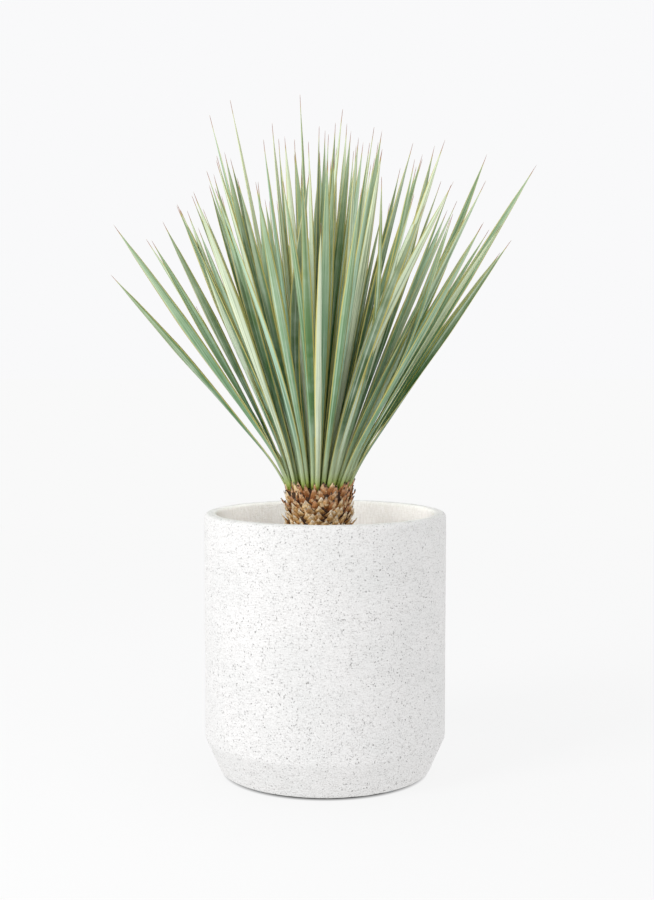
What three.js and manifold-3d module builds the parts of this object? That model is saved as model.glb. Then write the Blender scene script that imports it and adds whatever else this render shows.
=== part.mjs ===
// A beaked yucca in a white stoneware planter.
// Millimetres, +Z up. The origin lies on the pot's axis, at the level of the floor that it stands on.
import * as THREE from 'three';
import { mergeVertices } from 'three/addons/utils/BufferGeometryUtils.js';
import Module from 'manifold-3d';

const wasm = await Module();
wasm.setup();

// ---------------------------------------------------------------- driving dimensions

const POT = {
  radius: 163,          // straight outer wall
  wall: 17,             // wall and lip thickness
  crest: 354,           // top of the lip
  lipOutside: 6,        // rounding of the lip's outer corner
  lipInside: 4,         // rounding of the lip's inner corner
  chamferTop: 50,       // where the wall starts to slope in towards the foot
  footRadius: 141.5,    // where the slope would meet the underside
  footRound: 8,         // rounding of the lower edge
  underside: 3,         // the pads lift the pot this far
  floorTop: 21,
  drainRadius: 14,
  segments: 72,
};
const PAD = { radius: 7, height: 3, circle: 127.5, bevel: 0.8, segments: 24, turns: [50, 130, 230, 310] };
const NET = { radius: 24, thickness: 1.5, pitch: 8, hole: 5.5, sides: 32 };
const GRAVEL = { top: 66, overNet: 23, gap: 0.3 };
const SOIL = { edgeTop: 294, crownTop: 303, gap: 0.4 };
const PLANT_X = -9;     // the plant stands a little to the left of the pot's axis
const TRUNK = { radius: 40, foot: 232, neck: 376, taper: 5, crownDrop: 3, segments: 40 };
const HUSK = { width: 15, thickness: 4, length: 18, count: 84, first: 307, last: 369, lean: 42, sink: 3 };
const GOLDEN_ANGLE = 137.508;

// The head of leaves: leaf 0 is the oldest and outermost, the last is the newest, in the middle.
const HEAD = {
  leaves: 150,
  radius: 41.8,         // radius of the ring that the outermost leaves grow from
  base: 384,            // height of that ring
  dome: 18,             // the middle of the growing point stands this much higher
  lean: 30.7,           // degrees from upright, outermost leaves
  leanPower: 1.15,
  leanJitter: 3.5,
  turnJitter: 10,
  tilt: 3.2,            // the whole head tips towards +X
  length: 476,
  shorter: 84,          // the outermost leaves are shorter by this
  lengthJitter: 19,
  seed: 867,
};
// Old or strong leaves that leave the round head: [leaf, turn in degrees, lean in degrees, length].
const STRAYS = [
  [0, 176, 44, 377], [3, 158, 37, 411], [5, 206, 39.5, 422], [8, 190, 29, 392], [13, 150, 43, 326],
  [2, 14, 28.5, 517], [7, -20, 31.5, 394], [10, 12, 22.5, 507], [15, 24, 34, 402],
  [17, -93, 36.5, 406], [21, 99, 34.5, 441],
  [60, 174, 16.5, 508], [75, 319, 18.5, 471], [90, 185, 13.5, 514], [140, 200, 5, 506],
];
const BLADE = { width: 13.6, widthJitter: 1.2, neck: 6.6, thickness: 2.4, fold: 0.13, sides: 4, rings: 10 };
const SEPARATE_LEAVES = 51;

// ---------------------------------------------------------------- materials

function finish(colour, roughness) {
  return new THREE.MeshStandardMaterial({ color: colour, roughness, metalness: 0 });
}
const STONEWARE = finish(0xefeeec, 0.85);
const CLEAR_RUBBER = finish(0xd5dde2, 0.3);
const BLACK_NET = finish(0x2b2c2b, 0.6);
const PUMICE = finish(0xcfc6b6, 0.95);
const POTTING_MIX = finish(0x4a3626, 0.95);
const DRY_HUSK = finish(0x9d7854, 0.8);
const LEAF_GREEN = finish(0x7f9280, 0.5);

// ---------------------------------------------------------------- helpers

const plant = new THREE.Group();
const pottedYucca = new THREE.Group();
pottedYucca.add(plant);
plant.position.x = PLANT_X;

function addPiece(group, name, geometry, material) {
  const mesh = new THREE.Mesh(geometry, material);
  mesh.name = name;
  group.add(mesh);
  return mesh;
}

// A solid of revolution about Z from [radius, height] pairs, listed anticlockwise.
function turned(profile, segments) {
  const points = profile.map(([radius, height]) => new THREE.Vector2(radius, height));
  return new THREE.LatheGeometry(points, segments).rotateX(Math.PI / 2);
}

// Points of an arc in the profile plane, from one angle to another in degrees.
function arc(centreRadius, centreHeight, radius, from, to, steps) {
  return Array.from({ length: steps + 1 }, (_, k) => {
    const angle = THREE.MathUtils.degToRad(from + ((to - from) * k) / steps);
    return [centreRadius + radius * Math.cos(angle), centreHeight + radius * Math.sin(angle)];
  });
}

function toSolid(geometry) {
  const bare = geometry.clone();
  bare.deleteAttribute('normal');
  bare.deleteAttribute('uv');
  const merged = mergeVertices(bare, 1e-4);
  return new wasm.Manifold(new wasm.Mesh({
    numProp: 3,
    vertProperties: merged.attributes.position.array,
    triVerts: Uint32Array.from(merged.index.array),
  }));
}

function toGeometry(solid) {
  const mesh = solid.getMesh();
  const geometry = new THREE.BufferGeometry();
  geometry.setAttribute('position', new THREE.BufferAttribute(mesh.vertProperties, 3));
  geometry.setIndex(new THREE.BufferAttribute(mesh.triVerts, 1));
  geometry.computeVertexNormals();
  return geometry;
}

// Repeatable noise from 0 to 1 for leaf i and property k.
function noise(i, k) {
  const value = Math.sin(i * 12.9898 + k * 78.233) * 43758.5453;
  return value - Math.floor(value);
}

function smooth(x) {
  const t = Math.min(Math.max(x, 0), 1);
  return t * t * (3 - 2 * t);
}

// ---------------------------------------------------------------- pot and what is in it

// Radius of the sloping foot at a height, on the outside, less an inset for the inside.
function footRadiusAt(height, inset) {
  const share = (height - POT.underside) / (POT.chamferTop - POT.underside);
  return POT.footRadius + (POT.radius - POT.footRadius) * Math.min(share, 1) - inset;
}

function potGeometry() {
  const { footRound, lipOutside, lipInside } = POT;
  const facing = Math.atan2(POT.chamferTop - POT.underside, POT.radius - POT.footRadius) - Math.PI / 2;
  const slopeNormal = THREE.MathUtils.radToDeg(facing);
  const footInset = (footRound * (1 + Math.sin(facing))) / Math.cos(facing);
  const inside = POT.radius - POT.wall;
  const profile = [
    [POT.drainRadius, POT.underside],
    ...arc(POT.footRadius - footInset, POT.underside + footRound, footRound, -90, slopeNormal, 4),
    [footRadiusAt(POT.chamferTop - 3, 0), POT.chamferTop - 3],
    [POT.radius - 0.3, POT.chamferTop + 1],
    [POT.radius, POT.chamferTop + 5],
    ...arc(POT.radius - lipOutside, POT.crest - lipOutside, lipOutside, 0, 90, 5),
    ...arc(inside + lipInside, POT.crest - lipInside, lipInside, 90, 180, 4),
    [inside, POT.chamferTop + 8],
    [footRadiusAt(POT.floorTop, POT.wall), POT.floorTop],
    [POT.drainRadius, POT.floorTop],
    [POT.drainRadius, POT.underside],
  ];
  return turned(profile, POT.segments);
}

function padGeometry() {
  const { radius, height, bevel } = PAD;
  return turned([[0, 0], [radius - bevel, 0], [radius, bevel], [radius, height], [0, height]], PAD.segments);
}

// Moulded plastic net: a thin disc with square holes, over the drainage hole.
function netGeometry() {
  const { radius, thickness, pitch, hole } = NET;
  const disc = turned([[0, 0], [radius, 0], [radius, thickness], [0, thickness]], NET.sides);
  const reach = Math.floor(radius / pitch);
  const cutters = [];
  for (let row = -reach; row <= reach; row += 1) {
    for (let column = -reach; column <= reach; column += 1) {
      const [x, y] = [column * pitch, row * pitch];
      if (Math.hypot(x, y) + hole < radius) {
        cutters.push(toSolid(new THREE.BoxGeometry(hole, hole, 4 * thickness).translate(x, y, 0)));
      }
    }
  }
  const net = toSolid(disc).subtract(wasm.Manifold.union(cutters));
  return toGeometry(net).translate(0, 0, POT.floorTop);
}

function gravelGeometry() {
  const bottom = POT.floorTop + GRAVEL.gap;
  const wallGap = POT.wall + SOIL.gap;
  const bend = POT.chamferTop + 8;
  return turned([
    [0, GRAVEL.overNet],
    [NET.radius + GRAVEL.gap, GRAVEL.overNet],
    [NET.radius + GRAVEL.gap, bottom],
    [footRadiusAt(bottom, wallGap) - 0.4, bottom],
    [POT.radius - wallGap - 0.4, bend],
    [POT.radius - wallGap, GRAVEL.top],
    [0, GRAVEL.top],
  ], POT.segments);
}

// Potting mix, mounded slightly towards the middle, with a socket that the trunk's foot fits.
function soilGeometry() {
  const radius = POT.radius - POT.wall - SOIL.gap;
  const mound = toSolid(turned([
    [0, GRAVEL.top + GRAVEL.gap],
    [radius, GRAVEL.top + GRAVEL.gap],
    [radius, SOIL.edgeTop],
    [radius * 0.75, SOIL.edgeTop + (SOIL.crownTop - SOIL.edgeTop) * 0.6],
    [radius * 0.45, SOIL.crownTop],
    [0, SOIL.crownTop],
  ], POT.segments));
  const socket = toSolid(turned([
    [0, TRUNK.foot - SOIL.gap],
    [TRUNK.radius + TRUNK.taper + SOIL.gap, TRUNK.foot - SOIL.gap],
    [TRUNK.radius + TRUNK.taper + SOIL.gap, SOIL.crownTop + 20],
    [0, SOIL.crownTop + 20],
  ], TRUNK.segments).translate(PLANT_X, 0, 0));
  return toGeometry(mound.subtract(socket));
}

// ---------------------------------------------------------------- trunk

// One cut leaf base: a flat, tapered stub that points up and out.
function huskGeometry(turn, height, scale) {
  const stub = new THREE.BoxGeometry(HUSK.thickness, HUSK.width, HUSK.length);
  const position = stub.attributes.position;
  for (let k = 0; k < position.count; k += 1) {
    const share = position.getZ(k) / HUSK.length + 0.5;
    position.setY(k, position.getY(k) * (1 - 0.35 * share) * scale);
    position.setX(k, position.getX(k) * (1 - 0.45 * share));
    position.setZ(k, HUSK.length * share * scale);
  }
  stub.rotateY(THREE.MathUtils.degToRad(HUSK.lean));
  stub.translate(TRUNK.radius - HUSK.sink, 0, height);
  return stub.rotateZ(turn);
}

function trunkGeometry() {
  const foot = TRUNK.radius + TRUNK.taper;
  const domeSteps = 6;
  const dome = Array.from({ length: domeSteps + 1 }, (_, k) => {
    const share = 1 - k / domeSteps;
    return [(HEAD.radius + 2) * share, HEAD.base - TRUNK.crownDrop + HEAD.dome * (1 - share * share)];
  });
  const core = toSolid(turned([
    [0, TRUNK.foot],
    [foot - 6, TRUNK.foot],
    [foot, TRUNK.foot + 6],
    [foot, SOIL.edgeTop - 10],
    [TRUNK.radius, SOIL.crownTop + 12],
    [TRUNK.radius, TRUNK.neck],
    ...dome,
  ], TRUNK.segments));
  const stubs = Array.from({ length: HUSK.count }, (_, k) => {
    const height = HUSK.first + ((HUSK.last - HUSK.first) * k) / (HUSK.count - 1);
    const turn = THREE.MathUtils.degToRad(k * GOLDEN_ANGLE);
    return toSolid(huskGeometry(turn, height, 0.9 + 0.2 * noise(k, 9)));
  });
  return toGeometry(core.add(wasm.Manifold.union(stubs)));
}

// ---------------------------------------------------------------- leaves

// Everything that grows leaf i: where it starts, its turn, its lean along the blade and its size.
function growLeaf(i) {
  const spread = (k) => 2 * noise(i + 1, k + HEAD.seed * 0.37) - 1;
  const rank = Math.sqrt(1 - (i + 0.5) / HEAD.leaves);
  const leaf = {
    index: i,
    turn: i * GOLDEN_ANGLE + HEAD.turnJitter * spread(1),
    lean: HEAD.lean * rank ** HEAD.leanPower + HEAD.leanJitter * spread(2),
    length: HEAD.length - HEAD.shorter * rank ** 1.6 + HEAD.lengthJitter * spread(3),
    bend: 2.5 * spread(4),
    width: BLADE.width + BLADE.widthJitter * spread(5),
    roll: 40 * spread(6),
    stray: false,
  };
  const stray = STRAYS.find(([index]) => index === i);
  if (stray) {
    [, leaf.turn, leaf.lean, leaf.length] = stray;
    leaf.bend = 1;
    leaf.stray = true;
  }
  leaf.turn = THREE.MathUtils.degToRad(leaf.turn);
  leaf.start = new THREE.Vector3(
    HEAD.radius * rank * Math.cos(leaf.turn),
    HEAD.radius * rank * Math.sin(leaf.turn),
    HEAD.base + HEAD.dome * (1 - rank * rank),
  );
  return leaf;
}

// Direction of growth at share s of the length: the blade leans out quickly above its neck.
function leafDirection(leaf, s) {
  const lean = leaf.lean * (0.7 + 0.3 * smooth(s / 0.22)) + leaf.bend * s * s;
  const angle = THREE.MathUtils.degToRad(lean);
  const outward = new THREE.Vector3(Math.cos(leaf.turn), Math.sin(leaf.turn), 0);
  const direction = outward.multiplyScalar(Math.sin(angle)).setZ(Math.cos(angle));
  return direction.applyAxisAngle(new THREE.Vector3(0, 1, 0), THREE.MathUtils.degToRad(HEAD.tilt));
}

// Points on the midrib at equal steps, with the direction at each.
function midrib(leaf, steps) {
  const points = [leaf.start.clone()];
  const directions = [leafDirection(leaf, 0)];
  for (let k = 0; k < steps; k += 1) {
    const stride = leafDirection(leaf, (k + 0.5) / steps).multiplyScalar(leaf.length / steps);
    points.push(points[k].clone().add(stride));
    directions.push(leafDirection(leaf, (k + 1) / steps));
  }
  return { points, directions };
}

function bladeWidth(leaf, s) {
  const full = BLADE.neck + (leaf.width - BLADE.neck) * smooth(s / 0.62);
  return full * Math.min((1 - s) / 0.4, 1) ** 0.85;
}

// A blade is a cone whose rings are moved onto the midrib and pressed into a shallow V.
function leafGeometry(leaf) {
  const { points, directions } = midrib(leaf, BLADE.rings);
  const across = new THREE.Vector3(-Math.sin(leaf.turn), Math.cos(leaf.turn), 0);
  const geometry = new THREE.ConeGeometry(1, 1, BLADE.sides, BLADE.rings);
  const position = geometry.attributes.position;
  for (let k = 0; k < position.count; k += 1) {
    const s = position.getY(k) + 0.5;
    const ring = Math.round(s * BLADE.rings);
    const radius = Math.hypot(position.getX(k), position.getZ(k));
    const [sine, cosine] = radius > 1e-6
      ? [position.getX(k) / radius, position.getZ(k) / radius]
      : [0, 0];
    const width = bladeWidth(leaf, s);
    const thickness = BLADE.thickness * (1 - 0.7 * s) * (s < 1 ? 1 : 0);
    const along = directions[ring];
    const inner = along.clone().cross(across).normalize();
    const roll = THREE.MathUtils.degToRad(leaf.roll * smooth(s / 0.7));
    const side = across.clone().applyAxisAngle(along, roll);
    const face = inner.applyAxisAngle(along, roll);
    const fold = BLADE.fold * width * (Math.abs(sine) - 0.5);
    const place = points[ring].clone()
      .addScaledVector(side, (sine * width) / 2)
      .addScaledVector(face, -(cosine * thickness) / 2 + (radius > 1e-6 ? fold : 0));
    position.setXYZ(k, place.x, place.y, place.z);
  }
  geometry.computeVertexNormals();
  return geometry;
}

// Leaves with a node of their own: the strays, then every third leaf that stands clear of the others.
function separateLeaves() {
  const stations = 48;
  const all = Array.from({ length: HEAD.leaves }, (_, i) => growLeaf(i));
  const order = [
    ...all.filter((leaf) => leaf.stray),
    ...[1, 0, 2].flatMap((start) => all.filter((leaf) => !leaf.stray && leaf.index % 3 === start)),
  ];
  const chosen = [];
  order.forEach((leaf) => {
    const line = midrib(leaf, stations).points;
    const clear = chosen.every((other) => line.every((point, a) => other.line.every((match, b) => {
      const room = (bladeWidth(leaf, a / stations) + bladeWidth(other.leaf, b / stations)) / 2;
      return point.distanceTo(match) > room;
    })));
    if (clear && chosen.length < SEPARATE_LEAVES) chosen.push({ leaf, line });
  });
  return chosen.map(({ leaf }) => leaf).sort((a, b) => a.index - b.index);
}

// ---------------------------------------------------------------- assembly

addPiece(pottedYucca, 'pot', potGeometry(), STONEWARE);
PAD.turns.forEach((turn, k) => {
  const pad = addPiece(pottedYucca, `foot_pad_${k + 1}`, padGeometry(), CLEAR_RUBBER);
  const angle = THREE.MathUtils.degToRad(turn);
  pad.position.set(PAD.circle * Math.cos(angle), PAD.circle * Math.sin(angle), 0);
});
addPiece(pottedYucca, 'drain_net', netGeometry(), BLACK_NET);
addPiece(pottedYucca, 'drainage_gravel', gravelGeometry(), PUMICE);
addPiece(pottedYucca, 'soil', soilGeometry(), POTTING_MIX);
addPiece(plant, 'trunk', trunkGeometry(), DRY_HUSK);
separateLeaves().forEach((leaf) => {
  const name = `leaf_${String(leaf.index).padStart(3, '0')}`;
  addPiece(plant, name, leafGeometry(leaf), LEAF_GREEN);
});

export default pottedYucca;
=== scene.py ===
# %% [markdown]
# # A potted yucca
#
# A beaked yucca is a ball of narrow, waxy blades on a short trunk, and this one stands in a
# cylinder of rough white stoneware. The lesson builds it from the outside of the problem
# inwards: the camera first, then the pot, what lies in the pot, the trunk, and last the leaves.
#
# Every shape here is a surface worked out with numpy. A plant could also be made with particle
# hair or instanced leaves, but each blade needs its own twist and its own place, and plain
# arrays give both, the same on every run.

import bpy
import numpy as np
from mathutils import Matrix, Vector


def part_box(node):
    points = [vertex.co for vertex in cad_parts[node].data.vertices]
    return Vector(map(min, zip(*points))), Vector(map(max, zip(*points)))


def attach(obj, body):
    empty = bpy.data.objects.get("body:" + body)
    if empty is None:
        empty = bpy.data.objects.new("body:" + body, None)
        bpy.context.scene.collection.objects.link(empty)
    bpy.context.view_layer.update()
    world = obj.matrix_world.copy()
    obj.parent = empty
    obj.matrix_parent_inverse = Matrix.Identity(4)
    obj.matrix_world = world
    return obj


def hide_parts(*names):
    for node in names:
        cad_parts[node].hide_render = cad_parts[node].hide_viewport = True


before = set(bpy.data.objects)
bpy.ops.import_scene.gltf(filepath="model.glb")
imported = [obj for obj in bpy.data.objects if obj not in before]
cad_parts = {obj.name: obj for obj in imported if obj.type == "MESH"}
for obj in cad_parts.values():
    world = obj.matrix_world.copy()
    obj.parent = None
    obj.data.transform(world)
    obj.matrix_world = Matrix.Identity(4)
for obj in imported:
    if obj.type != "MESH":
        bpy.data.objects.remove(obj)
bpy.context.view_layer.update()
MM = 0.001

# %% [markdown]
# ## Small tools
#
# A mesh can be filled one vertex at a time, but whole arrays are faster and shorter to read.
# `make_piece` takes a list of corner points and a list of faces and gives back an object that
# already rides on the plant's only body. `grid_faces` joins the points of a rectangular grid
# into four-sided faces. Blender's shader colours are linear, while the colours given here are
# sRGB, so one function turns a hex colour into linear light.

# %% Mesh tools


def grid_faces(rows, columns, close_rows=False, close_columns=False):
    """Four-sided faces of a rows x columns grid, whose last row or column may join the first."""
    row = np.arange(rows if close_rows else rows - 1)[:, None]
    column = np.arange(columns if close_columns else columns - 1)[None, :]
    row_next, column_next = (row + 1) % rows, (column + 1) % columns
    corners = [row * columns + column, row * columns + column_next,
               row_next * columns + column_next, row_next * columns + column]
    return np.stack([corner + 0 * (row + column) for corner in corners], -1).reshape(-1, 4)


def capped_tubes(count, rings, corners, inside_out=False):
    """Faces of count closed tubes of rings x corners points: side grids, with caps across the ends.

    A cap joins corner k to corner -k, so its first and last faces are triangles."""
    low = np.arange(corners // 2)
    cap = np.stack([low, low + 1, corners - low - 1, (corners - low) % corners], -1)
    one = np.concatenate([grid_faces(rings, corners, False, True), cap[:, ::-1], cap + (rings - 1) * corners])
    one = one[:, ::-1] if inside_out else one
    step = rings * corners
    faces = [list(dict.fromkeys(face)) for face in one.tolist()]
    return [[corner + step * tube for corner in face] for tube in range(count) for face in faces]


def make_piece(name, points, faces, material, slot, smooth=True, replaces=(), **layers):
    """A finished object from points (n, 3) in metres and faces (m, 4), with float layers per point."""
    mesh = bpy.data.meshes.new(name)
    faces = faces.tolist() if isinstance(faces, np.ndarray) else faces
    mesh.from_pydata(np.asarray(points, float).reshape(-1, 3), [], faces)
    for layer, values in layers.items():
        mesh.attributes.new(layer, "FLOAT", "POINT").data.foreach_set("value", np.ravel(values))
    mesh.polygons.foreach_set("use_smooth", np.full(len(mesh.polygons), smooth))
    mesh.validate()
    mesh.materials.append(material)
    piece = bpy.data.objects.new(name, mesh)
    bpy.context.scene.collection.objects.link(piece)
    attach(piece, "root")
    if replaces:
        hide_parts(*replaces)
    return piece


def soften(x, low=0.0, high=1.0):
    """A smooth step: 0 below low, 1 above high, and 3t^2 - 2t^3 between."""
    t = np.clip((x - low) / (high - low), 0, 1)
    return t * t * (3 - 2 * t)


def ripples(rng, rows, columns, row_size, column_size):
    """White noise smoothed by a Gaussian of row_size x column_size cells, which wraps round.

    It is scaled so that three standard deviations reach 1."""
    down = np.fft.fftfreq(rows)[:, None] * row_size
    along = np.fft.rfftfreq(columns)[None, :] * column_size
    blur = np.exp(-2 * (np.pi ** 2) * (down ** 2 + along ** 2))
    noise = np.fft.irfft2(np.fft.rfft2(rng.standard_normal((rows, columns))) * blur, s=(rows, columns))
    return noise / (3 * noise.std())


# %% Material tools


def linear(hex_colour):
    """Linear red, green, blue and alpha of an sRGB hex colour."""
    srgb = np.array([int(hex_colour[k:k + 2], 16) for k in (1, 3, 5)]) / 255
    light = np.where(srgb <= 0.04045, srgb / 12.92, ((srgb + 0.055) / 1.055) ** 2.4)
    return (*light.tolist(), 1.0)


def new_material(name, roughness, ior=1.5):
    """A new node material and its Principled shader."""
    material = bpy.data.materials.new(name)
    material.use_nodes = True
    shader = material.node_tree.nodes["Principled BSDF"]
    shader.inputs["Roughness"].default_value = roughness
    shader.inputs["IOR"].default_value = ior
    return material, shader


def add_node(material, kind, settings=None, **links):
    """Adds one node. settings are its properties; links fill its inputs by name or number with a
    value, a colour or another node's output. Input names are written with _ for a space."""
    made = material.node_tree.nodes.new("ShaderNode" + kind)
    for key, value in (settings or {}).items():
        setattr(made, key, value)
    for key, value in links.items():
        number = key[2:] if key.startswith("in") and key[2:].isdigit() else None
        socket = made.inputs[int(number)] if number else made.inputs[key.replace("_", " ")]
        if isinstance(value, bpy.types.NodeSocket):
            material.node_tree.links.new(value, socket)
        else:
            socket.default_value = value
    return made


def link(material, output, socket):
    """Joins an output to a shader's input."""
    material.node_tree.links.new(output, socket)


def ramp(material, factor, *stops):
    """A colour ramp's Color output: stops are (position, colour), the colour a hex or a grey value."""
    made = add_node(material, "ValToRGB", in0=factor)
    elements = made.color_ramp.elements
    for place, (position, colour) in enumerate(stops):
        element = elements[place] if place < 2 else elements.new(position)
        element.position = position
        element.color = linear(colour) if isinstance(colour, str) else (colour, colour, colour, 1)
    return made.outputs["Color"]


def blend_colour(material, factor, first, second, mode="MIX"):
    """Mixes two colours, each a hex or another node's output."""
    made = add_node(material, "Mix", {"data_type": "RGBA", "blend_type": mode}, in0=factor)
    for socket, colour in ((made.inputs[6], first), (made.inputs[7], second)):
        if isinstance(colour, bpy.types.NodeSocket):
            material.node_tree.links.new(colour, socket)
        else:
            socket.default_value = linear(colour)
    return made.outputs[2]


def noise(material, vector, size_mm, detail=3.0, roughness=0.5):
    """Noise whose features are about size_mm across, read from coordinates in metres."""
    return add_node(material, "TexNoise", Vector=vector, Scale=1 / (size_mm * MM),
                    Detail=detail, Roughness=roughness).outputs["Fac"]


def stretched(material, vector, scale):
    """Coordinates stretched along the axes by scale, so that a pattern comes out long or flat."""
    return add_node(material, "Mapping", Vector=vector, Scale=scale).outputs["Vector"]


print("tools ready")

# %% [markdown]
# ## Camera
#
# The camera stands a little over the rim of the pot and looks slightly down, so the near lip
# hides the soil and the far lip shows as a thin bright ellipse. A 56.5 mm lens at 1.9 m keeps
# the cylinder's sides almost parallel.

# %% Camera
CAMERA_DISTANCE = 1.9
CAMERA_HEIGHT = 0.567
CAMERA_RIGHT = 0.0025
PITCH_DOWN = 0.068
LENS = 56.5

camera = bpy.data.objects.new("camera", bpy.data.cameras.new("camera"))
camera.data.lens = LENS
camera.data.sensor_width = 36
camera.location = (CAMERA_RIGHT, -CAMERA_DISTANCE, CAMERA_HEIGHT)
camera.rotation_euler = (np.pi / 2 - PITCH_DOWN, 0, 0)
bpy.context.scene.collection.objects.link(camera)
bpy.context.scene.camera = camera
print("camera", LENS, "mm at", CAMERA_DISTANCE, "m")

# %% [markdown]
# ## Studio
#
# The set is a white sweep under soft, even light: a bright dome, and one soft light low on the
# front left that leaves the pot's right side a shade greyer. Two small lamps beside the trunk
# throw light on the far side of the pot's mouth, which the leaves would leave dark. A real
# studio hides the far edge of its floor by curving the paper up. Here the paper turns from a
# lit surface near the pot into a plain glow as bright as the dome further out, which hides the edge
# from every side. Near the pot the paper's glow also holds painted light and shade: a brighter
# ring just outside the foot is painted light over the pot's shadow, and no glow under the pot
# paints the dark line there.

# %% Floor and lights
FLOOR_SIZE = 60.0
WHITE = "#F9F9FA"
KEY_POWER = 22.0
KEY_SIZE = 0.9
CARD_POWER = 0.045
CARD_SIZE = 0.05


def floor_sheet():
    """A flat square at height 0, from one 2 x 2 grid of corners."""
    x, y = np.meshgrid([-FLOOR_SIZE / 2, FLOOR_SIZE / 2], [-FLOOR_SIZE / 2, FLOOR_SIZE / 2])
    mesh = bpy.data.meshes.new("floor")
    mesh.from_pydata(np.stack([x, y, 0 * x], -1).reshape(-1, 3), [], [(0, 1, 3, 2)])
    floor = bpy.data.objects.new("floor", mesh)
    bpy.context.scene.collection.objects.link(floor)
    return floor


def studio_paper():
    """White paper: it bounces some light and, past a ring near the pot, glows more with distance.

    That ring glows brighter, painted light over the pot's shadow, and the patch under the pot,
    with no glow and little bounce, is dark with painted shade.
    """
    material, shader = new_material("white studio paper", 0.9)
    place = add_node(material, "TexCoord").outputs["Object"]
    reach = add_node(material, "VectorMath", {"operation": "LENGTH"}, in0=place).outputs["Value"]
    share = add_node(material, "MapRange", Value=reach, From_Max=3.0).outputs[0]
    dome = linear(WHITE)[0]
    # Painted shade and light: below 0.0435 of the reach, under the pot, the glow is 0 and the bounce low,
    # which paints the dark line; at 0.0465 the glow jumps to 0.84, painted light over the shadow.
    bounce = ramp(material, share, (0.0435, 0.06), (0.0465, 0.1), (0.12, 0.22), (0.3, 0.2), (0.95, 0.0))
    glow = ramp(material, share, (0.0435, 0.0), (0.0465, 0.84), (0.12, 0.72), (0.3, 0.745), (0.95, dome))
    link(material, bounce, shader.inputs["Base Color"])
    link(material, glow, shader.inputs["Emission Color"])
    shader.inputs["Emission Strength"].default_value = 1.0
    shader.inputs["Specular IOR Level"].default_value = 0.0
    return material


def soft_light(name, power, size, place, target):
    """A square area light at place that faces target."""
    light = bpy.data.lights.new(name, "AREA")
    light.energy = power
    light.size = size
    made = bpy.data.objects.new(name, light)
    made.location = place
    made.rotation_euler = (Vector(target) - Vector(place)).to_track_quat("-Z", "Y").to_euler()
    bpy.context.scene.collection.objects.link(made)
    return made


floor = floor_sheet()
floor.data.materials.append(studio_paper())
world = bpy.data.worlds.new("white dome")
world.use_nodes = True
world.node_tree.nodes["Background"].inputs["Color"].default_value = linear(WHITE)
bpy.context.scene.world = world
bpy.context.scene.view_settings.view_transform = "Standard"
soft_light("key", KEY_POWER, KEY_SIZE, (-1.75, -1.47, 1.35), (0, 0, 0.35))
for side in (-1, 1):
    card = soft_light(f"mouth card {side}", CARD_POWER * (1 + 0.2 * side), CARD_SIZE,
                      (0.06 * side, 0.03, 0.37), (0.11 * side, 0.117, 0.335))
    card.visible_camera = False
print("dome", WHITE, "key", KEY_POWER, "W")

# %% [markdown]
# ## White stoneware
#
# The pot is unglazed stoneware full of grog, thrown or cast and then dragged with a wet
# sponge. The grog tears the surface, so the wall shows fine dark pits and short level
# scratches. Paint could fake that with an image; here each mark is a noise with its own size
# in millimetres. Level scratches need no wrapping coordinates: noise that is squeezed along Z
# is long in X and Y everywhere on the cylinder, with no seam.

# %% Stoneware material
# Real grit is about 0.5 mm; it is drawn coarser so that it still shows from two metres.
GRIT_MM = 2.2
DRAG_MM = 9.0
LUMP_MM = 7.0
FINE_MM = 1.6
FOOT_TOP = 0.054
INNER_RADIUS = 0.1505


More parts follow.
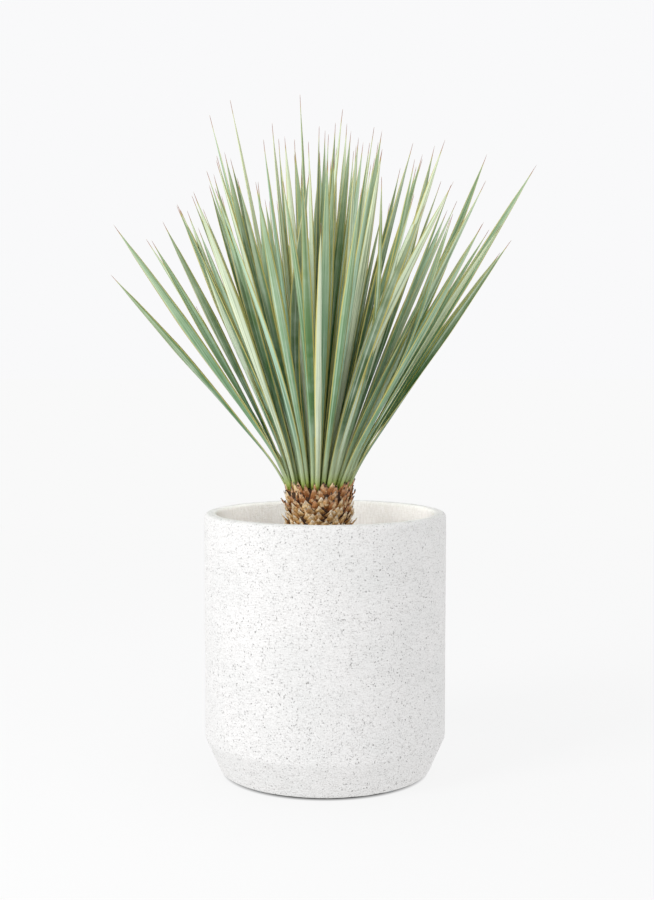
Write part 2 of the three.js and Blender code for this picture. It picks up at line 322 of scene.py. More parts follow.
def stoneware():
    """Rough, dry, off-white: pits and specks from sparse noise, drag marks from flattened noise."""
    material, shader = new_material("unglazed white stoneware", 0.88, 1.5)
    place = add_node(material, "TexCoord").outputs["Object"]
    level = stretched(material, place, (1, 1, 7))
    upright = stretched(material, place, (3.2, 3.2, 0.8))
    grit = noise(material, place, GRIT_MM, 2.0, 0.6)
    drag = noise(material, level, DRAG_MM, 4.0, 0.62)
    lump = noise(material, place, LUMP_MM, 3.0, 0.55)
    cloud = noise(material, place, 60.0, 2.0)
    brush = noise(material, upright, 7.0, 3.0, 0.6)
    fine = noise(material, place, FINE_MM, 1.0)

    axes = add_node(material, "SeparateXYZ", Vector=place).outputs
    flat = add_node(material, "CombineXYZ", X=axes["X"], Y=axes["Y"]).outputs["Vector"]
    radius = add_node(material, "VectorMath", {"operation": "LENGTH"}, in0=flat).outputs["Value"]
    outer = add_node(material, "MapRange", Value=radius, From_Min=INNER_RADIUS - 0.003,
                     From_Max=INNER_RADIUS + 0.003).outputs[0]
    low = add_node(material, "Math", {"operation": "LESS_THAN"}, in0=axes["Z"], in1=1.4 * FOOT_TOP).outputs[0]
    outside = add_node(material, "Math", {"operation": "MAXIMUM"}, in0=outer, in1=low).outputs[0]
    above = add_node(material, "MapRange", Value=axes["Z"], From_Min=0.02,
                     From_Max=FOOT_TOP + 0.006).outputs[0]

    tone = ramp(material, cloud, (0.3, "#ECECEB"), (0.7, "#F2F1F0"))
    tone = blend_colour(material, ramp(material, drag, (0.30, 0.6), (0.45, 0.0)), tone, "#C9C6C3")
    tone = blend_colour(material, ramp(material, fine, (0.3, 0.5), (0.5, 0.0)), tone, "#CFCDCB")
    specks = add_node(material, "Math", {"operation": "MULTIPLY"},
                      in0=ramp(material, grit, (0.60, 0.0), (0.68, 1.0)),
                      in1=ramp(material, lump, (0.40, 0.2), (0.60, 0.9))).outputs[0]
    specks = add_node(material, "Math", {"operation": "MULTIPLY"}, in0=specks, in1=outside).outputs[0]
    tone = blend_colour(material, specks, tone, "#84817F")
    # Inside the pot the colour is lighter than outside and has no specks: the lighter colour is painted light
    # where the leaves shade the mouth. The upright streaks in it are real brush marks.
    inner = blend_colour(material, ramp(material, brush, (0.35, 0.0), (0.65, 1.0)), "#F0EEEA", "#FBFAF8")
    tone = blend_colour(material, outside, inner, tone)
    foot_tone = blend_colour(material, 0.03, tone, "#C9C4BE")
    tone = blend_colour(material, above, foot_tone, tone)
    link(material, tone, shader.inputs["Base Color"])

    height = add_node(material, "Math", {"operation": "MULTIPLY_ADD"}, in0=drag, in1=1.2, in2=grit).outputs[0]
    height = add_node(material, "Math", {"operation": "MULTIPLY_ADD"}, in0=specks, in1=-0.8,
                      in2=height).outputs[0]
    bump = add_node(material, "Bump", Height=height, Distance=1.4 * MM, Strength=0.8).outputs["Normal"]
    link(material, bump, shader.inputs["Normal"])
    link(material, ramp(material, drag, (0.3, 0.96), (0.7, 0.8)), shader.inputs["Roughness"])
    return material


STONEWARE = stoneware()
print("material:", STONEWARE.name)

# %% [markdown]
# ## The pot
#
# A pot is a profile turned about its axis. The profile here runs as one closed loop: under the
# foot, round the lower edge, up the slope and the straight wall, over the flat lip with its
# rounded corners, and back down the inside to the drainage hole. The torn skin shows on the
# outline too, so a bump map alone isn't enough: ripples up to a quarter of a millimetre high
# move the points themselves.

# %% Pot shape
pot_low, pot_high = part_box("pot")
POT_RADIUS = pot_high.x
POT_TOP = pot_high.z
POT_BOTTOM = pot_low.z
WALL = 17 * MM
LIP_OUTSIDE = 6 * MM
LIP_INSIDE = 4 * MM
FOOT_ROUND = 8 * MM
FLOOR_TOP = 21 * MM
SLOPE_TOP = 50 * MM
FOOT_RADIUS = 141.5 * MM
DRAIN_RADIUS = 14 * MM
POT_COLUMNS = 440


def arc(centre, radius, start, end, count):
    """Points (radius, height) of an arc about centre, from one angle to another in degrees."""
    angle = np.radians(np.linspace(start, end, count))
    return np.stack([centre[0] + radius * np.cos(angle), centre[1] + radius * np.sin(angle)], -1)


def along(corners, spacing):
    """Points spaced evenly along a line through corners, the last corner left out."""
    corners = np.asarray(corners, float)
    steps = [max(2, int(np.ceil(np.linalg.norm(b - a) / spacing))) for a, b in zip(corners, corners[1:])]
    return np.concatenate([a + (b - a) * (np.arange(n) / n)[:, None]
                           for a, b, n in zip(corners, corners[1:], steps)])


def pot_profile():
    """The closed loop of the pot's section: outside, lip, inside and the drainage hole."""
    facing = np.arctan2(SLOPE_TOP - POT_BOTTOM, POT_RADIUS - FOOT_RADIUS) - np.pi / 2
    inset = FOOT_ROUND * (1 + np.sin(facing)) / np.cos(facing)
    lower = arc((FOOT_RADIUS - inset, POT_BOTTOM + FOOT_ROUND), FOOT_ROUND, -90, np.degrees(facing), 7)
    shoulder = (POT_RADIUS - 0.3 * MM, SLOPE_TOP + 1 * MM)
    inside = POT_RADIUS - WALL
    top = np.concatenate([
        arc((POT_RADIUS - LIP_OUTSIDE, POT_TOP - LIP_OUTSIDE), LIP_OUTSIDE, 0, 90, 8),
        along([(POT_RADIUS - LIP_OUTSIDE - 1.5 * MM, POT_TOP),
               (inside + LIP_INSIDE + 1 * MM, POT_TOP)], 2 * MM),
        arc((inside + LIP_INSIDE, POT_TOP - LIP_INSIDE), LIP_INSIDE, 90, 180, 6)])
    return np.concatenate([
        along([(DRAIN_RADIUS, POT_BOTTOM), lower[0]], 14 * MM), lower,
        along([lower[-1] + (0.9 * MM, 1.8 * MM), shoulder], 2.6 * MM),
        along([shoulder, (POT_RADIUS, SLOPE_TOP + 5 * MM), top[0]], 2.7 * MM), top,
        along([top[-1] - (0, 3 * MM), (inside, SLOPE_TOP + 8 * MM)], 8 * MM),
        along([(inside, SLOPE_TOP + 8 * MM), (FOOT_RADIUS - WALL, FLOOR_TOP),
               (DRAIN_RADIUS, FLOOR_TOP), (DRAIN_RADIUS, POT_BOTTOM)], 12 * MM),
    ])


def turned_skin(profile, columns, raised=0.0):
    """Turns a profile (n, 2) about Z. raised pushes the points out along the profile's normal."""
    tangent = np.roll(profile, -1, 0) - np.roll(profile, 1, 0)
    normal = np.stack([tangent[:, 1], -tangent[:, 0]], -1)
    normal /= np.linalg.norm(normal, axis=1, keepdims=True)
    section = profile[:, None, :] + normal[:, None, :] * np.asarray(raised)[..., None]
    angle = np.linspace(0, 2 * np.pi, columns, endpoint=False)
    radius, height = section[..., 0], section[..., 1]
    return np.stack([radius * np.cos(angle), radius * np.sin(angle), height + 0 * angle], -1)


profile = pot_profile()
rng = np.random.default_rng(11)
rows = len(profile)
relief = (0.22 * ripples(rng, rows, POT_COLUMNS, 0.7, 4.5) + 0.18 * ripples(rng, rows, POT_COLUMNS, 0.8, 1.2)
          + 0.35 * ripples(rng, rows, POT_COLUMNS, 12, 40)) * MM
torn = (profile[:, 1] > POT_BOTTOM + 1 * MM) & (profile[:, 0] > POT_RADIUS - WALL - 1 * MM)
torn |= (profile[:, 0] > FOOT_RADIUS - 4 * MM) & (profile[:, 1] < SLOPE_TOP) & (profile[:, 1] > POT_BOTTOM)
relief *= np.where(torn, 1.0, 0.15)[:, None]
relief = np.minimum(relief, 0.25 * MM)
make_piece("stoneware_pot", turned_skin(profile, POT_COLUMNS, relief),
           grid_faces(rows, POT_COLUMNS, True, True), STONEWARE, "stoneware", replaces=["pot"])
print("pot:", rows, "rings of", POT_COLUMNS, "points, relief up to", round(float(relief.max() / MM), 2), "mm")

# %% [markdown]
# ## Pads, net and drainage
#
# Four clear rubber pads keep the pot off the floor: they are what breaks the dark line under
# it. The net over the drainage hole and the pumice above it are hidden, so their solids from
# the frame stay as they are and only get their real finish.

# %% Pads and hidden pieces


def clear_rubber():
    """Clear polyurethane, cast: it passes light, slightly blurred, with a faint blue tint."""
    material, shader = new_material("clear polyurethane rubber", 0.22, 1.5)
    place = add_node(material, "TexCoord").outputs["Object"]
    haze = noise(material, place, 3.0)
    link(material, ramp(material, haze, (0.3, "#DCE6EC"), (0.7, "#E9F0F4")), shader.inputs["Base Color"])
    link(material, ramp(material, haze, (0.3, 0.18), (0.7, 0.32)), shader.inputs["Roughness"])
    shader.inputs["Transmission Weight"].default_value = 0.6
    return material


def pumice():
    """Tumbled pumice: pale grey-brown grains about 6 mm across, pale in the middle and darker at
    the gaps where they meet, which is painted shade.
    """
    material, shader = new_material("tumbled pumice", 0.95)
    place = add_node(material, "TexCoord").outputs["Object"]
    grains = add_node(material, "TexVoronoi", Vector=place, Scale=1 / (6 * MM))
    # Painted shade: lighter at each grain's middle, darker towards the gaps between the grains.
    tone = ramp(material, grains.outputs["Distance"], (0.1, "#CDC6B8"), (0.7, "#8A8071"))
    link(material, tone, shader.inputs["Base Color"])
    bump = add_node(material, "Bump", {"invert": True}, Height=grains.outputs["Distance"],
                    Distance=2 * MM, Strength=1.0)
    link(material, bump.outputs["Normal"], shader.inputs["Normal"])
    return material


def moulded_net():
    """Polypropylene net, black: slightly waxy, with a faint mould grain."""
    material, shader = new_material("moulded black polypropylene", 0.5)
    place = add_node(material, "TexCoord").outputs["Object"]
    grain = noise(material, place, 0.8)
    link(material, ramp(material, grain, (0.3, "#1B1C1C"), (0.7, "#262827")), shader.inputs["Base Color"])
    link(material, ramp(material, grain, (0.3, 0.42), (0.7, 0.6)), shader.inputs["Roughness"])
    return material


def pad_skin(node):
    """A disc with rounded edges, turned about its own axis, from the box of its CAD solid."""
    low, high = (np.array(corner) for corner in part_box(node))
    radius, height, edge = (high[0] - low[0]) / 2, high[2] - low[2], 0.7 * MM
    section = np.concatenate([[(0.02 * MM, low[2])], arc((radius - edge, low[2] + edge), edge, -90, 0, 6),
                              arc((radius - edge, low[2] + height - edge), edge, 0, 90, 6),
                              [(0.02 * MM, high[2])]])
    middle = np.array([(low[0] + high[0]) / 2, (low[1] + high[1]) / 2, 0])
    return turned_skin(section, 32) + middle, grid_faces(len(section), 32, True, True)


CLEAR = clear_rubber()
pads = [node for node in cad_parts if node.startswith("foot_pad")]
for node in pads:
    points, faces = pad_skin(node)
    make_piece(node.replace("foot", "clear"), points, faces, CLEAR, "clear_rubber", replaces=[node])
for node, material in (("drain_net", moulded_net()), ("drainage_gravel", pumice())):
    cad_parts[node].data.materials.clear()
    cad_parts[node].data.materials.append(material)
print("pads:", len(pads))

# %% [markdown]
# ## Potting mix
#
# Seen from above, the mix is dark, crumbly bark and peat with a few white grains of perlite.
# The surface is one skin that runs from the trunk to the wall, down, and back under itself:
# noise of three sizes makes the clods. The bark chips and grains that lie on it are small
# faceted lumps, all in one mesh, with few faces each because there are hundreds.

# %% Potting mix
soil_low, soil_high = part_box("soil")
trunk_low, trunk_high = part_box("trunk")
PLANT_X = (trunk_low.x + trunk_high.x) / 2
TRUNK_RADIUS = 40 * MM
SOIL_EDGE = 294 * MM
SOIL_COLUMNS = 300
SOIL_ROWS = 70


def potting_mix():
    """Peat and composted bark: dark brown, matt, every crumb its own shade."""
    material, shader = new_material("peat and bark potting mix", 0.95)
    place = add_node(material, "TexCoord").outputs["Object"]
    crumbs = add_node(material, "TexVoronoi", Vector=place, Scale=1 / (3.5 * MM))
    tone = ramp(material, crumbs.outputs["Color"], (0.1, "#2A1D14"), (0.5, "#43301F"), (0.9, "#6A5038"))
    link(material, tone, shader.inputs["Base Color"])
    fine = noise(material, place, 1.6, 4.0, 0.7)
    bump = add_node(material, "Bump", Height=fine, Distance=1.5 * MM, Strength=1.0).outputs["Normal"]
    link(material, bump, shader.inputs["Normal"])
    return material


def soil_height(x, y):
    """Height of the mix: a low mound about the trunk that falls to the wall."""
    share = np.hypot(x, y) / (soil_high.x)
    return SOIL_EDGE + (soil_high.z - SOIL_EDGE) * (1 - soften(share, 0.35, 1.0))


def soil_skin(rng):
    """Rings that slide from the trunk's circle to the wall's circle, then down, in, and up the socket."""
    angle = np.linspace(0, 2 * np.pi, SOIL_COLUMNS, endpoint=False)
    share = np.linspace(0, 1, SOIL_ROWS)[:, None]
    near, far = TRUNK_RADIUS + 5.6 * MM, soil_high.x - 0.2 * MM
    x = (1 - share) * (PLANT_X + near * np.cos(angle)) + share * far * np.cos(angle)
    y = (near + (far - near) * share) * np.sin(angle)
    coarse = 2.2 * ripples(rng, SOIL_ROWS, SOIL_COLUMNS, 4, 6)
    clods = (coarse + 1.4 * ripples(rng, SOIL_ROWS, SOIL_COLUMNS, 1.3, 2)) * MM
    top = np.stack([x, y, soil_height(x, y) + np.clip(clods, -3 * MM, 3 * MM)], -1)
    bottom = soil_low.z
    wall = np.stack([np.stack([far * np.cos(angle), far * np.sin(angle), 0 * angle + z], -1)
                     for z in (0.24, 0.15, bottom)])
    under = np.stack([PLANT_X + near * np.cos(angle), near * np.sin(angle), 0 * angle + bottom], -1)
    socket = np.stack([PLANT_X + near * np.cos(angle), near * np.sin(angle), 0 * angle + 0.2], -1)
    return np.concatenate([top, wall, under[None], socket[None]])[::-1]


def lumps(rng, places, size, flatness):
    """Eight-cornered lumps at places: a cube's corners, each moved at random, scaled and turned."""
    corners = np.array([(x, y, z) for z in (-1, 1) for y in (-1, 1) for x in (-1, 1)], float)
    shape = corners * rng.uniform(0.55, 1.0, (len(places), 8, 3)) * size[:, None, None] / 2
    shape[..., 2] *= flatness
    turn = rng.uniform(0, 2 * np.pi, len(places))
    cosine, sine = np.cos(turn)[:, None], np.sin(turn)[:, None]
    x = shape[..., 0] * cosine - shape[..., 1] * sine
    y = shape[..., 0] * sine + shape[..., 1] * cosine
    tip = rng.uniform(-0.5, 0.5, len(places))[:, None]
    points = np.stack([x, y, shape[..., 2] + tip * x], -1) + places[:, None]
    box = np.array([(0, 2, 3, 1), (4, 5, 7, 6), (0, 1, 5, 4), (2, 6, 7, 3), (0, 4, 6, 2), (1, 3, 7, 5)])
    return points.reshape(-1, 3), (box + 8 * np.arange(len(places))[:, None, None]).reshape(-1, 4)


def scatter(rng, count):
    """Places spread evenly over the ring of soil between trunk and wall."""
    radius = np.sqrt(rng.uniform(0.058 ** 2, 0.139 ** 2, count))
    turn = rng.uniform(0, 2 * np.pi, count)
    x, y = radius * np.cos(turn), radius * np.sin(turn)
    return np.stack([x, y, soil_height(x, y) + 1.0 * MM], -1)


def bark():
    """Composted pine bark: red-brown outside, weathered grey on some faces."""
    material, shader = new_material("composted pine bark", 0.85)
    place = add_node(material, "TexCoord").outputs["Object"]
    grain = noise(material, stretched(material, place, (1, 3, 3)), 5.0, 4.0, 0.6)
    brown = ramp(material, grain, (0.3, "#3A2418"), (0.55, "#6B4227"), (0.75, "#8E7258"))
    link(material, brown, shader.inputs["Base Color"])
    bump = add_node(material, "Bump", Height=grain, Distance=1 * MM, Strength=0.8).outputs["Normal"]
    link(material, bump, shader.inputs["Normal"])
    return material


def perlite():
    """Expanded perlite: brittle white foam glass, stained by the peat."""
    material, shader = new_material("expanded perlite", 0.8)
    place = add_node(material, "TexCoord").outputs["Object"]
    stain = noise(material, place, 2.5)
    link(material, ramp(material, stain, (0.3, "#B9AF9F"), (0.6, "#E8E4DB")), shader.inputs["Base Color"])
    return material


CHIPS = 520
GRAINS = 240
rng = np.random.default_rng(23)
skin = soil_skin(rng)
make_piece("potting_mix", skin, grid_faces(len(skin), SOIL_COLUMNS, True, True), potting_mix(), "potting_mix",
           replaces=["soil"])
chips, chip_faces = lumps(rng, scatter(rng, CHIPS), rng.uniform(4, 12, CHIPS) * MM, 0.45)
make_piece("bark_chips", chips, chip_faces, bark(), "potting_mix", smooth=False)
grains, grain_faces = lumps(rng, scatter(rng, GRAINS), rng.uniform(1.8, 4.5, GRAINS) * MM, 0.9)
make_piece("perlite_grains", grains, grain_faces, perlite(), "potting_mix", smooth=False)
print("potting mix:", CHIPS, "chips,", GRAINS, "grains")

# %% [markdown]
# ## Growth rule
#
# A yucca sets each new leaf about 137.5 degrees round from the last. The oldest leaves stand
# on the outer ring and lean out most; the newest stand upright in the middle. The rule below
# is the same one that placed the solids of the frame, so a blade made from it lies along its
# solid. A few strong or old leaves leave the round head and have their own turn, lean and
# length.

# %% Growth rule
GOLDEN_ANGLE = 137.508
LEAVES = 150
HEAD_RADIUS = 41.8 * MM
HEAD_BASE = 384 * MM
HEAD_DOME = 18 * MM
HEAD_LEAN = 30.7
HEAD_TILT = np.radians(3.2)
SEED = 867
SWAY = 45
MORE_TWIST = 2.1
OUTER_STRAYS = 11
STRAY_TWIST = 62
NECK = 6.6 * MM
# Each row is [leaf, turn in degrees, lean in degrees, length in mm]. These are fitted values.
STRAYS = np.array([
    [0, 176, 44, 377], [3, 158, 37, 411], [5, 206, 39.5, 422], [8, 190, 29, 392], [13, 150, 43, 326],
    [2, 14, 28.5, 517], [7, -20, 31.5, 394], [10, 12, 22.5, 507], [15, 24, 34, 402],
    [17, -93, 36.5, 406], [21, 99, 34.5, 441],
    [60, 174, 16.5, 508], [75, 319, 18.5, 471], [90, 185, 13.5, 514], [140, 200, 5, 506],
])


def spread(i, k):
    """Repeatable noise from -1 to 1 for leaf i and property k."""
    value = np.sin((i + 1) * 12.9898 + (k + SEED * 0.37) * 78.233) * 43758.5453
    return 2 * (value - np.floor(value)) - 1


def grow():
    """Turn, lean, length, bend, width, roll and starting point of every leaf, as arrays."""
    i = np.arange(LEAVES)
    rank = np.sqrt(1 - (i + 0.5) / LEAVES)
    turn = i * GOLDEN_ANGLE + 10 * spread(i, 1)
    lean = HEAD_LEAN * rank ** 1.15 + 3.5 * spread(i, 2)
    length = 476 - 84 * rank ** 1.6 + 19 * spread(i, 3)
    bend = 2.5 * spread(i, 4)
    stray = STRAYS[:, 0].astype(int)
    turn[stray], lean[stray], length[stray] = STRAYS[:, 1:].T
    bend[stray] = 1
    turn = np.radians(turn)
    start = np.stack([PLANT_X + HEAD_RADIUS * rank * np.cos(turn), HEAD_RADIUS * rank * np.sin(turn),
                      HEAD_BASE + HEAD_DOME * (1 - rank ** 2)], -1)
    return {"rank": rank, "turn": turn, "lean": lean, "length": length * MM, "bend": bend,
            "width": (13.6 + 1.2 * spread(i, 5)) * MM, "roll": 40 * spread(i, 6), "start": start}


def directions(leaf, s):
    """Direction of growth at shares s of the length: lean times 0.7 at the neck, in full past 0.22."""
    lean = np.radians(leaf["lean"][:, None] * (0.7 + 0.3 * soften(s / 0.22)) + leaf["bend"][:, None] * s ** 2)
    turn = leaf["turn"][:, None] + leaf["sway"][:, None] * soften(s / 0.9)
    x, y, z = np.sin(lean) * np.cos(turn), np.sin(lean) * np.sin(turn), np.cos(lean)
    cosine, sine = np.cos(HEAD_TILT), np.sin(HEAD_TILT)
    return np.stack([x * cosine + z * sine, y, z * cosine - x * sine], -1)


leaf = grow()
solid_leaves = sorted(int(node.split("_")[1]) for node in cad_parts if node.startswith("leaf_"))
# The leaves between the solid ones twist more, and sway round the trunk as they rise, so that
# blades cross and show their faces. So do the outer strays, each turned on its own solid.
leaf["sway"] = np.radians(SWAY * spread(np.arange(LEAVES), 8))
leaf["sway"][solid_leaves] = 0
other_leaves = np.setdiff1d(np.arange(LEAVES), solid_leaves)
leaf["roll"][other_leaves] *= MORE_TWIST
leaf["roll"][STRAYS[:OUTER_STRAYS, 0].astype(int)] = STRAY_TWIST
print("leaves:", LEAVES, "longest", round(float(leaf["length"].max() / MM)), "mm")

# %% [markdown]
# ## Leaf finish
#
# A beaked yucca's leaf is stiff and waxy. Its wax bloom scatters a bluish white light over the
# green, a thin hard yellow rim runs down both edges, fine veins run the whole length, the
# clasping neck is yellow-green, and the last centimetre or two is a brown needle. The blade's
# own layers say where on the leaf a point is: `across` from -1 to 1 and `rise` from 0 to 1.

# %% Leaf material


def layer(material, name):
    """A float layer stored on the mesh's points."""
    return add_node(material, "Attribute", {"attribute_name": name}).outputs["Fac"]


def math(material, operation, first, second=0.0):
    """One arithmetic step on two values."""
    return add_node(material, "Math", {"operation": operation}, in0=first, in1=second).outputs[0]


def waxy_leaf():
    """Bloomed green blade with veins, a yellow horny rim, a pale neck and a brown needle."""
    material, shader = new_material("waxy yucca leaf", 0.42, 1.45)
    across, rise, tone = (layer(material, name) for name in ("across", "rise", "tone"))
    place = add_node(material, "TexCoord").outputs["Object"]
    lane = add_node(material, "CombineXYZ", X=math(material, "MULTIPLY", across, 3.2),
                    Y=math(material, "MULTIPLY", rise, 2.0),
                    Z=math(material, "MULTIPLY", tone, 50.0)).outputs[0]
    veins = add_node(material, "TexNoise", Vector=lane, Scale=1.0, Detail=2.0).outputs["Fac"]
    bloom = noise(material, place, 30.0, 3.0, 0.6)

    # The tone ramp is partly each leaf's own colour and partly painted light and shade: its near-white top
    # and deep green bottom make lit and shaded copies of one leaf.
    green = ramp(material, tone, (0.0, "#2F4D20"), (0.25, "#527A46"), (0.5, "#7DA47C"), (0.75, "#A6C8B0"),
                 (1.0, "#E6EED0"))
    green = blend_colour(material, ramp(material, bloom, (0.4, 0.0), (0.7, 0.3)), green, "#B9D0BE")
    # Paler towards the tip: partly the blade's own yellow-green, partly a painted highlight on the upper half
    # of the blade.
    green = blend_colour(material, ramp(material, rise, (0.45, 0.0), (0.9, 0.35)), green, "#D3E0B8")
    green = blend_colour(material, ramp(material, veins, (0.36, 0.6), (0.5, 0.0)), green, "#44682F")
    green = blend_colour(material, ramp(material, veins, (0.56, 0.0), (0.7, 0.45)), green, "#DCE8D2")
    neck = ramp(material, rise, (0.0, "#A3B53C"), (0.022, "#A9BC66"), (0.06, "#BBCAA0"), (0.2, "#B2C5A2"))
    blade = blend_colour(material, ramp(material, rise, (0.02, 0.0), (0.24, 1.0)), neck, green)
    edge = math(material, "ABSOLUTE", across)
    rim = math(material, "MULTIPLY", ramp(material, edge, (0.74, 0.0), (0.84, 1.0)),
               ramp(material, rise, (0.03, 0.0), (0.12, 0.9)))
    blade = blend_colour(material, rim, blade, "#DBD078")
    needle = ramp(material, rise, (0.96, "#B9B566"), (0.975, "#A8744F"), (0.992, "#8C5545"), (1.0, "#D8C9B8"))
    blade = blend_colour(material, ramp(material, rise, (0.95, 0.0), (0.968, 1.0)), blade, needle)
    link(material, blade, shader.inputs["Base Color"])

    bump = add_node(material, "Bump", Height=veins, Distance=0.25 * MM, Strength=0.5).outputs["Normal"]
    link(material, bump, shader.inputs["Normal"])
    link(material, ramp(material, bloom, (0.3, 0.38), (0.7, 0.55)), shader.inputs["Roughness"])
    return material


LEAF = waxy_leaf()
print("material:", LEAF.name)

# %% [markdown]
# ## Leaf shape
#
# A blade is a closed skin on a grid of two parameters: one runs from the neck to the needle,
# the other goes once round the section. The section is a thin lens pressed into a shallow V,
# widest at three fifths of the length. The skin could be a flat card, but the V and the real
# thickness are what catch the light along the rim.

# %% Leaf shape
BLADE_RINGS = 44
BLADE_SIDE = 7
# Leaves between the solid ones whose own chance falls short are left out. That opens gaps, most
# of them in the middle of the head.
THIN_MIDDLE = 0.45
THIN_OUTWARD = 1.2


def blade_width(width, s):
    """Width at share s: the neck, full width near 0.62, a taper, and a last pinch to the needle."""
    full = NECK + (width[:, None] - NECK) * soften(s / 0.62)
    taper = np.clip((1 - s) / 0.36, 0, 1) ** 0.75
    return full * taper * (0.4 + 0.6 * soften((1 - s) / 0.13))


def blade_points(leaf, chosen):
    """Points (leaf, ring, corner, 3) of the chosen blades with their across and rise layers."""
    part = {key: value[chosen] for key, value in leaf.items()}
    rings = np.linspace(0, 1, BLADE_RINGS)[None, :]
    middle = (rings[:, 1:] + rings[:, :-1]) / 2
    stride = directions(part, middle) * (part["length"] / (BLADE_RINGS - 1))[:, None, None]
    rib = np.concatenate([part["start"][:, None], part["start"][:, None] + np.cumsum(stride, 1)], 1)
    along_leaf = directions(part, rings)
    across = np.stack([-np.sin(part["turn"]), np.cos(part["turn"]), 0 * part["turn"]], -1)[:, None]
    inner = np.cross(along_leaf, across)
    inner /= np.linalg.norm(inner, axis=-1, keepdims=True)
    roll = np.radians(part["roll"])[:, None] * soften(rings / 0.7)
    side = across * np.cos(roll)[..., None] + inner * np.sin(roll)[..., None]
    side /= np.linalg.norm(side, axis=-1, keepdims=True)
    face = np.cross(along_leaf, side)

    over = np.linspace(-1, 1, BLADE_SIDE)
    place = np.concatenate([over, over[-2:0:-1]])
    skin = np.concatenate([np.ones(BLADE_SIDE), -np.ones(BLADE_SIDE - 2)])
    width = blade_width(part["width"], rings)
    width = np.maximum(width, 0.5 * MM * (1 - 0.6 * rings))
    thick = (2.2 * MM) * (1 - 0.75 * rings)
    lens = skin * (1 - place ** 2) ** 0.6 * 0.5
    fold = 0.32 * (np.sqrt(place ** 2 + 0.02) - 0.5)
    lift = thick[..., None] * lens + width[..., None] * fold
    points = (rib[:, :, None] + side[:, :, None] * (width[..., None] * place / 2)[..., None]
              + face[:, :, None] * lift[..., None])
    return points, np.broadcast_to(place, lift.shape), np.broadcast_to(rings[..., None], lift.shape)


def leaf_tone_and_painted_light(chosen):
    """A shade from 0, deep green, to 1, pale, for each leaf. Few leaves are in between.

    The spread is partly the leaves' own colour and partly painted light and shade, which makes
    some leaves look lit and others shaded.
    """
    return 0.35 * (0.5 + 0.5 * spread(chosen, 7)) + 0.65 * soften(0.5 + 0.5 * spread(chosen, 7), 0.1, 0.9)


def make_blades(name, chosen, replaces=()):
    """One object that holds the chosen blades."""
    points, across, rise = blade_points(leaf, chosen)
    tone = np.broadcast_to(leaf_tone_and_painted_light(chosen)[:, None, None], across.shape)
    faces = capped_tubes(len(chosen), BLADE_RINGS, 2 * BLADE_SIDE - 2, True)
    return make_piece(name, points, faces, LEAF, "leaf", replaces=replaces,
                      across=across, rise=rise, tone=tone)


for number in solid_leaves:
    make_blades(f"blade_{number:03d}", np.array([number]), [f"leaf_{number:03d}"])
others = other_leaves[spread(other_leaves, 9) > THIN_MIDDLE - THIN_OUTWARD * leaf["rank"][other_leaves]]
TIERS = 9
for tier in range(TIERS):
    make_blades(f"blade_tier_{tier + 1}", np.array_split(others, TIERS)[tier])
print("blades:", len(solid_leaves), "on solids and", len(others), "more in", TIERS, "tiers")

# %% [markdown]
# ## Trunk
#
# When old leaves are trimmed, their bases stay on the trunk like the scales of a pineapple:
# each is a short woody stub, wide where it clasps the trunk and cut off dark at the tip. The
# upper ones are still red-brown and point up between the green necks; the lower ones have
# dried to gold and lie flatter. Modelling them as bumps on a cylinder would lose the ragged
# outline, so each is its own small closed wedge.

# %% Trunk finish


def dry_husk():
    """Dried leaf base: fibrous, golden tan low on the trunk, red-brown above, dark where it was cut.

    Each stub is also painted dark at its own foot, painted shade in the crease, and pale blotches
    on it are painted highlights.
    """
    material, shader = new_material("dried yucca leaf base", 0.62, 1.45)
    rise, tone = layer(material, "rise"), layer(material, "tone")
    place = add_node(material, "TexCoord").outputs["Object"]
    fibre = noise(material, stretched(material, place, (5, 5, 1)), 5.0, 4.0, 0.65)
    painted_highlight_blotch = noise(material, place, 7.0, 3.0, 0.6)
    # Both ramps start nearly black at the stub's own foot: painted shade in the crease where it meets the
    # trunk under the stub above.
    gold = ramp(material, rise, (0.0, "#4A2A10"), (0.25, "#A8702F"), (0.6, "#E2B877"), (1.0, "#FFF8E4"))
    russet = ramp(material, rise, (0.0, "#3A1D0C"), (0.3, "#955525"), (0.65, "#C98E58"), (0.82, "#D3A27E"),
                  (0.93, "#2A1C15"))
    colour = blend_colour(material, ramp(material, tone, (0.35, 0.0), (0.75, 1.0)), gold, russet)
    colour = blend_colour(material, ramp(material, fibre, (0.36, 0.75), (0.5, 0.0)), colour, "#4A280E")
    # Pale cream blotches are painted highlights.
    colour = blend_colour(material, ramp(material, painted_highlight_blotch, (0.53, 0.0), (0.62, 0.7)), colour, "#FFE6B8")
    link(material, colour, shader.inputs["Base Color"])
    bump = add_node(material, "Bump", Height=fibre, Distance=0.6 * MM, Strength=0.8).outputs["Normal"]
    link(material, bump, shader.inputs["Normal"])
    return material


def trunk_core():
    """The trunk between the stubs: dark, damp fibre."""
    material, shader = new_material("yucca trunk fibre", 0.9)
    place = add_node(material, "TexCoord").outputs["Object"]
    fibre = noise(material, stretched(material, place, (4, 4, 1)), 6.0, 4.0, 0.7)
    link(material, ramp(material, fibre, (0.3, "#1F130B"), (0.7, "#5B3D24")), shader.inputs["Base Color"])
    bump = add_node(material, "Bump", Height=fibre, Distance=1.2 * MM, Strength=1.0).outputs["Normal"]
    link(material, bump, shader.inputs["Normal"])
    return material


# %% Trunk shape
HUSKS = 350
HUSK_FIRST = 300 * MM
HUSK_LAST = 378 * MM
CORE_COLUMNS = 96
HUSK_RINGS = 6
HUSK_CORNERS = 8


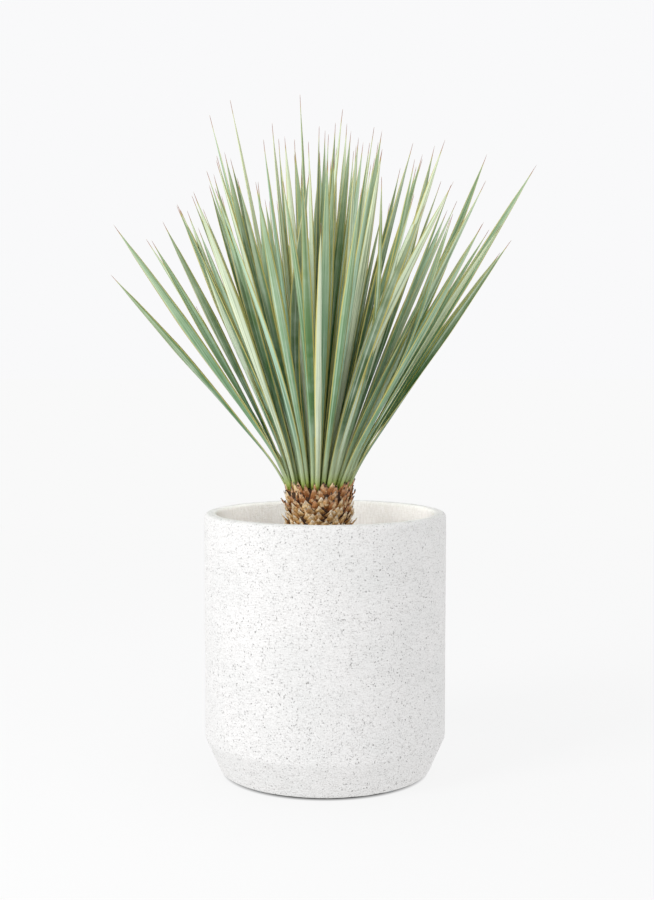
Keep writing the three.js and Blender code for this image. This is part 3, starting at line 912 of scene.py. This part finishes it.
def core_section():
    """Section of the core from the root plate up to the domed growing point, closed at the axis."""
    share = np.linspace(1, 0.001, 8)
    dome = np.stack([(HEAD_RADIUS + 0.5 * MM) * share, HEAD_BASE - 2 * MM + HEAD_DOME * (1 - share ** 2)], -1)
    foot = trunk_low.z
    lower = np.array([(0.05 * MM, foot), (39 * MM, foot), (44 * MM, foot + 6 * MM), (44 * MM, 286 * MM)])
    return np.concatenate([lower, [(40 * MM, 312 * MM), (40 * MM, 340 * MM), (40.5 * MM, 372 * MM)], dome])


def husk_points(rng):
    """Points (husk, ring, corner, 3): a ridged wedge from a wide clasping foot to a narrow cut tip."""
    k = np.arange(HUSKS)
    height = HUSK_FIRST + (HUSK_LAST - HUSK_FIRST) * k / (HUSKS - 1)
    turn = np.radians(k * GOLDEN_ANGLE) + rng.normal(0, 0.06, HUSKS)
    fresh = soften((height - 0.338) / 0.03 + rng.normal(0, 0.25, HUSKS))
    length = (17 + 7 * fresh + rng.normal(0, 2.0, HUSKS)) * MM
    width = (19 - 4 * fresh + rng.normal(0, 2.0, HUSKS)) * MM
    lean = np.radians(48 - 18 * fresh + rng.normal(0, 9, HUSKS))
    rings = np.linspace(0, 1, HUSK_RINGS)[None, :]
    over = np.array([-1, -0.5, 0, 0.5, 1])
    place = np.concatenate([over, over[-2:0:-1]])
    skin = np.array([-0.2, 0.5, 1, 0.5, -0.2, -0.6, -0.7, -0.6])
    tilt = lean[:, None] * (1 - 0.45 * rings)
    reach = np.cumsum(np.sin(tilt), 1) * (length / HUSK_RINGS)[:, None]
    climb = np.cumsum(np.cos(tilt), 1) * (length / HUSK_RINGS)[:, None]
    wide = width[:, None] * (1 - 0.9 * rings ** 1.25)
    thick = (3.6 * MM) * (1 - 0.6 * rings)
    radial = (TRUNK_RADIUS - 4 * MM + reach)[..., None]
    radial = radial + thick[..., None] * skin * 0.5 * np.cos(tilt)[..., None]
    radial = radial - 0.05 * wide[..., None] * place ** 2 + rng.normal(0, 0.35 * MM, radial.shape)
    rise = (height[:, None] + climb)[..., None] - thick[..., None] * skin * 0.5 * np.sin(tilt)[..., None]
    rise = rise + rng.normal(0, 0.4 * MM, rise.shape)
    aside = wide[..., None] * place / 2 + (rng.normal(0, 1.5 * MM, HUSKS)[:, None] * rings)[..., None]
    cosine, sine = np.cos(turn)[:, None, None], np.sin(turn)[:, None, None]
    points = np.stack([PLANT_X + radial * cosine - aside * sine, radial * sine + aside * cosine, rise], -1)
    tone = np.broadcast_to(np.clip(fresh + rng.normal(0, 0.18, HUSKS), 0, 1)[:, None, None], aside.shape)
    return points, np.broadcast_to(rings[..., None], aside.shape), tone


rng = np.random.default_rng(5)
section = core_section()
core = turned_skin(section, CORE_COLUMNS) + np.array([PLANT_X, 0, 0])
core_faces = grid_faces(len(section), CORE_COLUMNS, True, True)
make_piece("trunk_core", core, core_faces, trunk_core(), "dry_husk", replaces=["trunk"])
points, rise, tone = husk_points(rng)
husk_faces = capped_tubes(HUSKS, HUSK_RINGS, HUSK_CORNERS)
make_piece("cut_leaf_bases", points, husk_faces, dry_husk(), "dry_husk", smooth=False,
           rise=rise, tone=tone)
print("trunk:", HUSKS, "cut leaf bases")

# %% [markdown]
# ## Check and finish
#
# The gap between each blade and its solid is measured by comparing their boxes. The visual
# model has to stay in the box of the solids.

# %% Measure and finish
gaps = []
for number in solid_leaves:
    low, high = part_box(f"leaf_{number:03d}")
    vertices = bpy.data.objects[f"blade_{number:03d}"].data.vertices
    points = np.empty(3 * len(vertices))
    vertices.foreach_get("co", points)
    points = points.reshape(-1, 3)
    below = np.abs(points.min(0) - np.array(low)).max()
    above = np.abs(points.max(0) - np.array(high)).max()
    gaps.append(max(below, above))
print("widest gap between a blade's box and its solid's:", round(max(gaps) / MM, 1), "mm")
added = [o for o in bpy.data.objects if o.type == "MESH" and o.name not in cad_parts]
faces = {o.name: sum(len(p.vertices) - 2 for p in o.data.polygons) for o in added}
print("triangles added:", sum(faces.values()), "most in one piece:", max(faces.values()))
